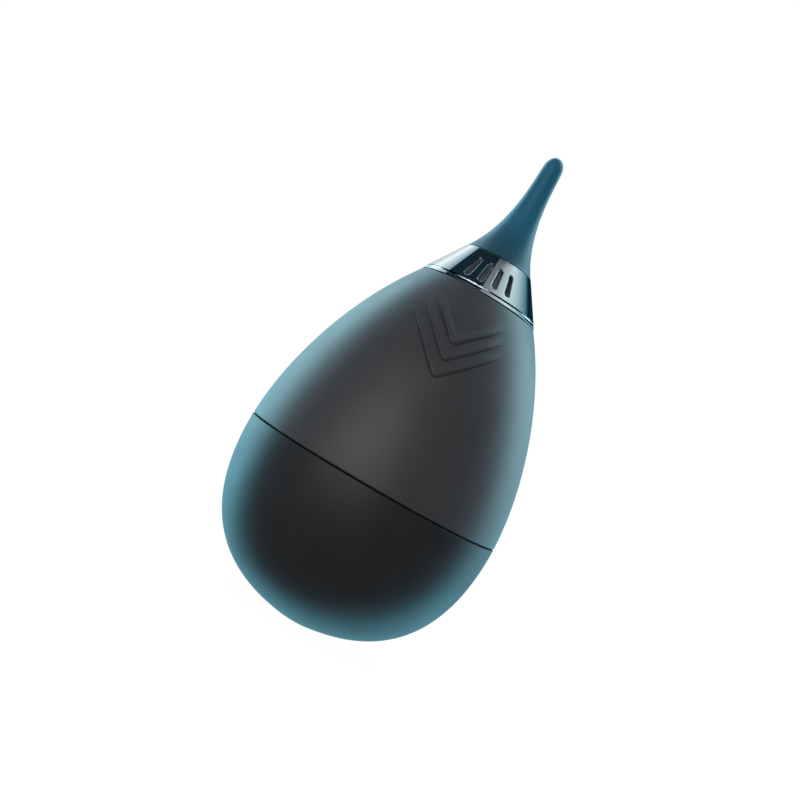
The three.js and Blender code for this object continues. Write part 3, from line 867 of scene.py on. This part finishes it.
def collar():
    """A cone wall of plain columns and slot cells, joined by rings from each cell through its slot."""
    low_along = (SLOT_LOW_Z - CONE_LOW_Z) / math.cos(LEAN) - CELL_MARGIN
    high_along = (SLOT_HIGH_Z - CONE_LOW_Z) / math.cos(LEAN) + CELL_MARGIN
    rows = np.linspace(low_along, high_along, CELL_UP + 1)
    loop, partners = cell_loop(rows)
    half = math.radians(CELL_HALF_ANGLE)
    centres = slot_centres()
    columns = collar_columns(centres, half)
    vertices, faces = [], []

    def add(point):
        vertices.append(point)
        return len(vertices) - 1

    def in_cell(a, b):
        middle = (a + (b - a) / 2) % (2 * math.pi)
        gaps = [abs((middle - c + math.pi) % (2 * math.pi) - math.pi) for c in centres]
        return min(gaps) < half

    def skin(depth_of, flip):
        """One face of the wall between the cell rows, with the cells left out."""
        grid = [[add(cone_point(c, y, depth_of(y))) for c in columns] for y in rows]
        for i in range(len(columns)):
            j = (i + 1) % len(columns)
            after = columns[j] + (2 * math.pi if j == 0 else 0)
            if in_cell(columns[i], after):
                continue
            for low, high in zip(grid, grid[1:]):
                face = (low[i], low[j], high[j], high[i])
                faces.append(face[::-1] if flip else face)

    def cell_ring(centre, mix, grow, depth_of):
        """A ring on a face of the wall, between the slot's edge at mix 0 and the cell's boundary at 1."""
        ring = []
        for (x, y), partner in zip(loop, partners):
            u, v = slot_edge(partner, grow)
            radius = cone_radius(CONE_LOW_Z + v * math.cos(LEAN))
            angle = (1 - mix) * u / radius + mix * half * x
            along = (1 - mix) * v + mix * y
            ring.append(add(cone_point(centre + angle, along, depth_of(along))))
        return ring

    def edge_ring(centre, turn):
        """A ring of the rounded edge where the slot meets the outer face."""
        grow = SLOT_FILLET * (1 - math.sin(turn))
        depth = SLOT_FILLET * (1 - math.cos(turn))
        return [add(slot_point(centre, *slot_edge(partner, grow), depth)) for partner in partners]

    def throat_ring(centre, share):
        """A ring of the slot's side, from the rounded edge at share 0 to the inner face at 1."""
        ring = []
        for partner in partners:
            u, v = slot_edge(partner, 0.0)
            ring.append(add(slot_point(centre, u, v, SLOT_FILLET + (wall_depth(v) - SLOT_FILLET) * share)))
        return ring

    def strip(points):
        grid = [[add((r * math.sin(c), -r * math.cos(c), z)) for c in columns] for r, z in points]
        for low, high in zip(grid, grid[1:]):
            for i in range(len(columns)):
                j = (i + 1) % len(columns)
                faces.append((low[i], high[i], high[j], low[j]))

    skin(lambda y: 0.0, False)
    skin(wall_depth, True)
    for centre in centres:
        rings = [cell_ring(centre, mix, SLOT_SURROUND, lambda y: 0.0) for mix in (1.0, 0.62, 0.3, 0.12, 0.0)]
        rings += [edge_ring(centre, turn) for turn in np.linspace(0, math.pi / 2, FILLET_STEPS + 1)]
        rings += [throat_ring(centre, share) for share in (0.35, 0.7, 1.0)]
        rings += [cell_ring(centre, mix, 0.0, wall_depth) for mix in (0.3, 0.62, 1.0)]
        for outer, inner in zip(rings, rings[1:]):
            for i in range(len(loop)):
                j = (i + 1) % len(loop)
                faces.append((outer[i], outer[j], inner[j], inner[i]))
    for profile in collar_profiles(low_along, high_along):
        strip(profile)
    obj = new_object("collar_vented_cone", vertices, faces, COLLAR_SHARP)
    welded = bmesh.new()
    welded.from_mesh(obj.data)
    bmesh.ops.remove_doubles(welded, verts=welded.verts, dist=WELD)
    bmesh.ops.recalc_face_normals(welded, faces=welded.faces)
    welded.to_mesh(obj.data)
    welded.free()
    finish_shading(obj, COLLAR_SHARP)
    return obj


# ---- Filter ----

WIRE_PITCH = 0.5
WIRE_RADIUS = 0.075
WIRE_SIDES = 5
WIRE_STEPS = 3
WIRE_CLEARANCE = 1.05
WIRE_OUTWARD_RISE = 0.6


def filter_screen():
    """A woven wire sleeve: upright wires crossing hoops, over and under in turn."""
    low_radius = CONE_BORE - FILTER_GAP - SCREEN_THICKNESS / 2
    high_radius = cone_radius(FILTER_HIGH_Z) - CONE_RADIAL_WALL - FILTER_GAP - SCREEN_THICKNESS / 2
    low_end, high_end = (low_radius, FILTER_LOW_Z + 0.1), (high_radius, FILTER_HIGH_Z - 0.1)
    path = np.array([low_end, (low_radius, BORE_TOP_Z), high_end])
    length = np.concatenate([[0], np.cumsum(np.linalg.norm(np.diff(path, axis=0), axis=1))])
    hoops = int(length[-1] / WIRE_PITCH)
    uprights = int(2 * math.pi * (low_radius + high_radius) / 2 / WIRE_PITCH / 2) * 2
    vertices, faces = [], []

    def surface(angle, along, lift):
        along = min(max(along, 0), length[-1])
        radius = np.interp(along, length, path[:, 0])
        z = np.interp(along, length, path[:, 1])
        lean = LEAN if along > length[1] else 0.0
        radius += lift * math.cos(lean)
        return np.array([radius * math.sin(angle), -radius * math.cos(angle), z + lift * math.sin(lean)])

    def wire(points, outward, closed):
        """A thin round wire through the points, as a closed hoop or with capped ends."""
        points, outward = np.array(points), np.array(outward)
        ahead = np.roll(points, -1, axis=0) - np.roll(points, 1, axis=0)
        if not closed:
            ahead[0] = points[1] - points[0]
            ahead[-1] = points[-1] - points[-2]
        ahead /= np.linalg.norm(ahead, axis=1)[:, None]
        side = np.cross(ahead, outward)
        side /= np.linalg.norm(side, axis=1)[:, None]
        up = np.cross(side, ahead)
        start = len(vertices)
        for p, s, n in zip(points, side, up):
            for k in range(WIRE_SIDES):
                turn = 2 * math.pi * k / WIRE_SIDES
                vertices.append(p + WIRE_RADIUS * (math.cos(turn) * s + math.sin(turn) * n))
        rings = len(points)
        for i in range(rings if closed else rings - 1):
            j = (i + 1) % rings
            for k in range(WIRE_SIDES):
                m = (k + 1) % WIRE_SIDES
                a, b = start + i * WIRE_SIDES, start + j * WIRE_SIDES
                faces.append((a + k, a + m, b + m, b + k))
        if not closed:
            faces.append(tuple(start + k for k in reversed(range(WIRE_SIDES))))
            faces.append(tuple(start + (rings - 1) * WIRE_SIDES + k for k in range(WIRE_SIDES)))

    def weave(places, closed):
        """One wire through (angle, distance up, lift) places."""
        points = [surface(*place) for place in places]
        outward = [(math.sin(angle), -math.cos(angle), WIRE_OUTWARD_RISE) for angle, _, _ in places]
        wire(points, outward, closed)

    lift = WIRE_RADIUS * WIRE_CLEARANCE
    steps = hoops * WIRE_STEPS
    for i in range(uprights):
        alongs = [k / steps * hoops * WIRE_PITCH for k in range(steps + 1)]
        waves = [lift * math.cos(math.pi * (along / WIRE_PITCH - 0.5 + i)) for along in alongs]
        weave([(2 * math.pi * i / uprights, along, wave) for along, wave in zip(alongs, waves)], False)
    for h in range(hoops):
        turns = [k / WIRE_STEPS for k in range(uprights * WIRE_STEPS)]
        waves = [-lift * math.cos(math.pi * (h + turn)) for turn in turns]
        along = (h + 0.5) * WIRE_PITCH
        weave([(2 * math.pi * turn / uprights, along, wave) for turn, wave in zip(turns, waves)], True)
    return new_object("filter_screen_weave", vertices, faces, 75)


def filter_foam():
    inset = FILTER_GAP * 2 + SCREEN_THICKNESS
    low = CONE_BORE - inset
    high = cone_radius(FILTER_HIGH_Z) - CONE_RADIAL_WALL - inset
    rise = FILTER_HIGH_Z - BORE_TOP_Z
    leaning = [(low + (high - low) * t, BORE_TOP_Z + rise * t) for t in np.linspace(0.1, 1, 12)]
    profile = [
        (low - FOAM_THICKNESS, FILTER_LOW_Z), (low, FILTER_LOW_Z), (low, BORE_TOP_Z), *leaning,
        (high - FOAM_THICKNESS, FILTER_HIGH_Z), (low - FOAM_THICKNESS, BORE_TOP_Z),
    ]
    return lathe("filter_foam_sleeve", profile, 128, fillet=0.25)


# ---- Nozzle ----


def nozzle():
    side = [tuple(p) for p in bezier(NOZZLE_SIDE, 90)]
    mouth_angle = math.acos(NOZZLE_MOUTH / NOZZLE_TIP_RADIUS)
    turns = [mouth_angle * k / DOME_STEPS for k in range(1, DOME_STEPS + 1)]
    dome = [
        (NOZZLE_TIP_RADIUS * math.cos(turn), NOZZLE_TIP_Z + NOZZLE_TIP_HEIGHT * math.sin(turn))
        for turn in turns
    ]
    mouth_z = dome[-1][1]
    profile = [
        (6.6, 97.95), (8.45, 97.95), (8.6, 98.0), (8.68, 98.12), *side[2:], *dome,
        (NOZZLE_BORE, mouth_z - 0.2), (NOZZLE_BORE, mouth_z - 1.5), (1.4, 105.3), (3.3, 104.7),
        (3.3, 101.2), (6.6, 100),
    ]
    vertices, faces = lathe_data(profile, even_columns(144))
    return new_object("nozzle_sleeve", vertices, faces, 50)


# ---- Put the pieces together ----

dress(base_cup(), "base_cup", "base", "cup_plastic")
dress(base_weight(), "base_weight", "base", "steel")
dress(weight_cover(), "weight_cover", "base", "fitting_plastic")
dress(o_ring("weight_cover_seal_ring", 22.35, 0.55, 11.75), "weight_cover_seal", "base", "seal_rubber")
for number, spot in enumerate(SCREW_SPOTS, 1):
    dress(weight_screw(number, spot), f"weight_screw_{number}", "base", "steel")
dress(o_ring("seam_o_ring_seal", 27.3, 0.5, 40.4), "seam_o_ring", "base", "seal_rubber")
dress(seam_ring(), "seam_ring", "bulb", "fitting_plastic")
bulb = dress(squeeze_bulb(), "squeeze_bulb", "bulb", "bulb_silicone")
dress(neck_insert(), "neck_insert", "head", "fitting_plastic")
dress(clamp_ring(), "clamp_ring", "head", "chrome_trim")
dress(neck_gasket(), "neck_gasket", "washer", "seal_rubber")
dress(valve_plate(), "valve_plate", "valve", "fitting_plastic")
dress(air_tube(), "air_tube", "valve", "tube_plastic")
dress(o_ring("tube_o_ring_seal", 3.72, 0.3, 88.625, 72, 12), "tube_o_ring", "valve", "seal_rubber")
dress(vent_flap(), "vent_flap", "flap", "flap_silicone")
dress(flap_retainer(), "flap_retainer", "valve", "fitting_plastic")
dress(o_ring("spigot_o_ring_seal", 2.87, 0.3, 102.35, 72, 12), "spigot_o_ring", "valve", "seal_rubber")
dress(filter_foam(), "filter_foam", "valve", "filter_foam")
dress(filter_screen(), "filter_screen", "valve", "screen_steel")
dress(collar(), "collar", "collar", "chrome_trim")
dress(nozzle(), "nozzle", "nozzle", "nozzle_silicone")

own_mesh(bulb)

# ---- Floor ----

FLOOR_SIZE = 6.0
FLOOR_Z = -0.00002
floor_mesh = bpy.data.meshes.new("studio_floor")
corners = [(x * FLOOR_SIZE, y * FLOOR_SIZE, FLOOR_Z) for x, y in ((-1, -1), (1, -1), (1, 1), (-1, 1))]
floor_mesh.from_pydata(corners, [], [(0, 1, 2, 3)])
floor = bpy.data.objects.new("studio_floor", floor_mesh)
bpy.context.scene.collection.objects.link(floor)
floor_material = bpy.data.materials.new("studio_floor")
floor_material.use_nodes = True
for socket, value in (
    ("Base Color", (0.03, 0.03, 0.03, 1)),
    ("Roughness", 0.9),
    ("Specular IOR Level", 0.0),
    ("Emission Color", (1, 1, 1, 1)),
    ("Emission Strength", 0.985),
):
    floor_material.node_tree.nodes["Principled BSDF"].inputs[socket].default_value = value
floor_mesh.materials.append(floor_material)
floor.visible_glossy = False
floor.visible_diffuse = False

# ---- Studio light ----


# Directions are read as east, north and rise, each from -1 to 1, and the object faces south. The two
# bands are levels by northing and by rise, both scaled to 0 to 1. A pair is where a step starts and ends.
WHITE = (1, 1, 1, 1)
HIGH_TEAL = (0.50, 0.88, 1.0, 1)
LOW_TEAL = (0.28, 0.86, 1.08, 1)
REAR_PEAK = 4.2
REAR_BAND = (
    (0.0, 0.0), (0.54, 0.0), (0.60, 0.2), (0.66, 0.75), (0.725, 1.0), (0.81, 0.95), (0.885, 0.6),
    (0.94, 0.36), (1.0, 0.1),
)
HEIGHT_BAND = ((0.0, 0.30), (0.10, 0.33), (0.25, 0.50), (0.375, 0.80), (0.475, 1.0), (1.0, 1.0))
LEFT_GAIN = 0.08
RIGHT_LEAN = 0.32
LEFT_LEAN = -0.22
LEAN_START = 0.3
MID_RIGHT_LOSS = 0.46
HIGH_RIGHT_GAIN = 0.8
LOW_RIGHT_GAIN = 0.12
LOW_LEFT_LOSS = 0.3
FRONT_LEVEL = 3.0
FRONT_TINT = (0.95, 0.97, 1.0)
FRONT_TURN = math.radians(22)
SIDE = (0.0, 0.5)
MIDDLE_RISE, MIDDLE_FALL = (-0.5, -0.15), (0.0, 0.4)
LOW_FALL = (-0.65, -0.25)
HIGH_RISE = (0.35, 0.75)
TEAL_CHANGE = (-0.35, 0.25)
FRONT_FACING = (0.74, 0.99)
FRONT_RISE, FRONT_FALL = (-0.4, 0.6), (0.7, 0.95)
PANEL_SEAM = (-0.06, -0.035)
STRIP_RISE, STRIP_FALL = (-0.065, -0.045), (0.024, 0.045)
STRIP_FOOT = (-0.02, 0.04)
FILL_RISE = 0.15
FILL_EAST = -0.25

# Two soft panels, side by side along the arc of directions that the polished cone mirrors, as
# (height of the direction, red, green, blue) steps.
LEFT_PANEL = (
    (0.19, 0.24, 0.30, 0.29),
    (0.25, 0.60, 0.68, 0.65),
    (0.37, 0.61, 0.67, 0.65),
    (0.54, 0.98, 1.07, 1.08),
    (0.66, 0.52, 0.66, 0.72),
    (0.737, 0.24, 0.38, 0.44),
    (0.75, 0.008, 0.021, 0.03),
)
RIGHT_PANEL = (
    (0.53, 0.004, 0.021, 0.032),
    (0.57, 0.03, 0.12, 0.15),
    (0.71, 0.20, 0.39, 0.44),
    (0.84, 0.52, 0.66, 0.71),
    (0.89, 0.60, 0.72, 0.76),
    (0.95, 0.36, 0.42, 0.45),
    (0.967, 0.15, 0.17, 0.18),
)

# The cone mirrors that arc towards the camera. With the cosine of the angle round the cone as the
# share, the direction's height is linear in it and its northing is quadratic.
CAMERA_PLACE = Vector((0, -0.2764, 0.0523))
CONE_MIDDLE = Vector((0, 0, (CONE_LOW_Z + CONE_TOP_Z) / 2 * MM))
SIGHT = (CONE_MIDDLE - CAMERA_PLACE).normalized()
ARC_SQUARE = -2 * math.cos(LEAN) ** 2 * SIGHT.y
ARC_LINEAR = math.sin(2 * LEAN) * SIGHT.z
ARC_START = SIGHT.y
ARC_HEIGHT = math.sin(2 * LEAN) * SIGHT.y
ARC_OFFSET = math.cos(2 * LEAN) * SIGHT.z


def rear_light(kit, east, north, rise):
    """A soft teal band behind the object, which rims it. Its edge leans and its level shifts by side."""
    right_side = kit.ramp(east, *SIDE)
    left_side = kit.ramp(kit.math("MULTIPLY", east, -1.0), *SIDE)
    tilt = kit.math("MAXIMUM", kit.math("SUBTRACT", kit.math("ABSOLUTE", rise), LEAN_START), 0.0)
    lean = kit.product(tilt, kit.line(right_side, RIGHT_LEAN, kit.math("MULTIPLY", left_side, LEFT_LEAN)))
    band = kit.curve(kit.line(kit.math("ADD", north, lean), 0.5, 0.5), REAR_BAND)
    height = kit.curve(kit.line(rise, 0.5, 0.5), HEIGHT_BAND)
    side = kit.line(east, -LEFT_GAIN, 1.0)
    middle = kit.product(kit.ramp(rise, *MIDDLE_RISE), kit.fall(rise, *MIDDLE_FALL))
    low, high = kit.fall(rise, *LOW_FALL), kit.ramp(rise, *HIGH_RISE)
    for where, level, change in (
        (right_side, middle, -MID_RIGHT_LOSS),
        (right_side, high, HIGH_RIGHT_GAIN),
        (right_side, low, LOW_RIGHT_GAIN),
        (left_side, low, -LOW_LEFT_LOSS),
    ):
        side = kit.line(kit.product(where, level), change, side)
    teal = kit.mix(kit.ramp(rise, *TEAL_CHANGE), LOW_TEAL, HIGH_TEAL)
    return kit.scale(teal, kit.product(band, height, side, REAR_PEAK))


def front_light(kit, east, north, rise):
    """A soft white light in front, a little to the left of the camera and above it."""
    facing = kit.line(north, -math.cos(FRONT_TURN), kit.math("MULTIPLY", east, -math.sin(FRONT_TURN)))
    tall = kit.product(kit.ramp(rise, *FRONT_RISE), kit.fall(rise, *FRONT_FALL))
    return kit.scale(FRONT_TINT, kit.product(kit.ramp(facing, *FRONT_FACING), tall, FRONT_LEVEL))


def cone_panels(kit, east, north, rise, elsewhere):
    """The two panels within a narrow strip along the mirrored arc, and the other light elsewhere."""
    share = kit.line(rise, 1 / ARC_HEIGHT, -ARC_OFFSET / ARC_HEIGHT)
    arc_north = kit.line(kit.line(share, ARC_SQUARE, ARC_LINEAR), share, ARC_START)
    off_arc = kit.math("SUBTRACT", north, arc_north)
    left, right = kit.palette(rise, LEFT_PANEL), kit.palette(rise, RIGHT_PANEL)
    panels = kit.mix(kit.ramp(east, *PANEL_SEAM), left, right)
    strip = kit.product(kit.ramp(off_arc, *STRIP_RISE), kit.fall(off_arc, *STRIP_FALL))
    return kit.mix(kit.product(strip, kit.ramp(rise, *STRIP_FOOT)), elsewhere, panels)


world = bpy.data.worlds.new("studio")
bpy.context.scene.world = world
world.use_nodes = True
world.cycles.sampling_method = "NONE"
studio = Nodes(world.node_tree)
xyz = studio.nodes.new("ShaderNodeSeparateXYZ")
studio.put(xyz.inputs["Vector"], studio.nodes.new("ShaderNodeTexCoord").outputs["Generated"])
way = [xyz.outputs[axis] for axis in "XYZ"]
reflected = cone_panels(studio, *way, studio.add(rear_light(studio, *way), front_light(studio, *way)))
fill = studio.scale((1.0, 1.0, 1.0), studio.line(way[2], FILL_RISE, studio.line(way[0], FILL_EAST, 1.0)))
paths = studio.nodes.new("ShaderNodeLightPath").outputs
light = studio.mix(paths["Is Glossy Ray"], fill, reflected)
shown = studio.mix(paths["Is Camera Ray"], light, WHITE)
studio.put(world.node_tree.nodes["Background"].inputs["Color"], shown)

# ---- Camera ----

CAMERA_AIM = Vector((-0.00416, 0, 0.0575))
CAMERA_LENS = 51.75
CAMERA_ROLL = 30

camera_data = bpy.data.cameras.new("camera")
camera_data.lens = CAMERA_LENS
camera_data.clip_start = 0.01
camera = bpy.data.objects.new("camera", camera_data)
bpy.context.scene.collection.objects.link(camera)
ahead = (CAMERA_AIM - CAMERA_PLACE).normalized()
level_right = ahead.cross(Vector((0, 0, 1))).normalized()
level_up = level_right.cross(ahead)
roll = math.radians(CAMERA_ROLL)
right = level_right * math.cos(roll) + level_up * math.sin(roll)
up = level_up * math.cos(roll) - level_right * math.sin(roll)
turned = Matrix((right, up, -ahead)).transposed().to_4x4()
camera.matrix_world = Matrix.Translation(CAMERA_PLACE) @ turned
bpy.context.scene.camera = camera
bpy.context.scene.view_settings.view_transform = "Standard"
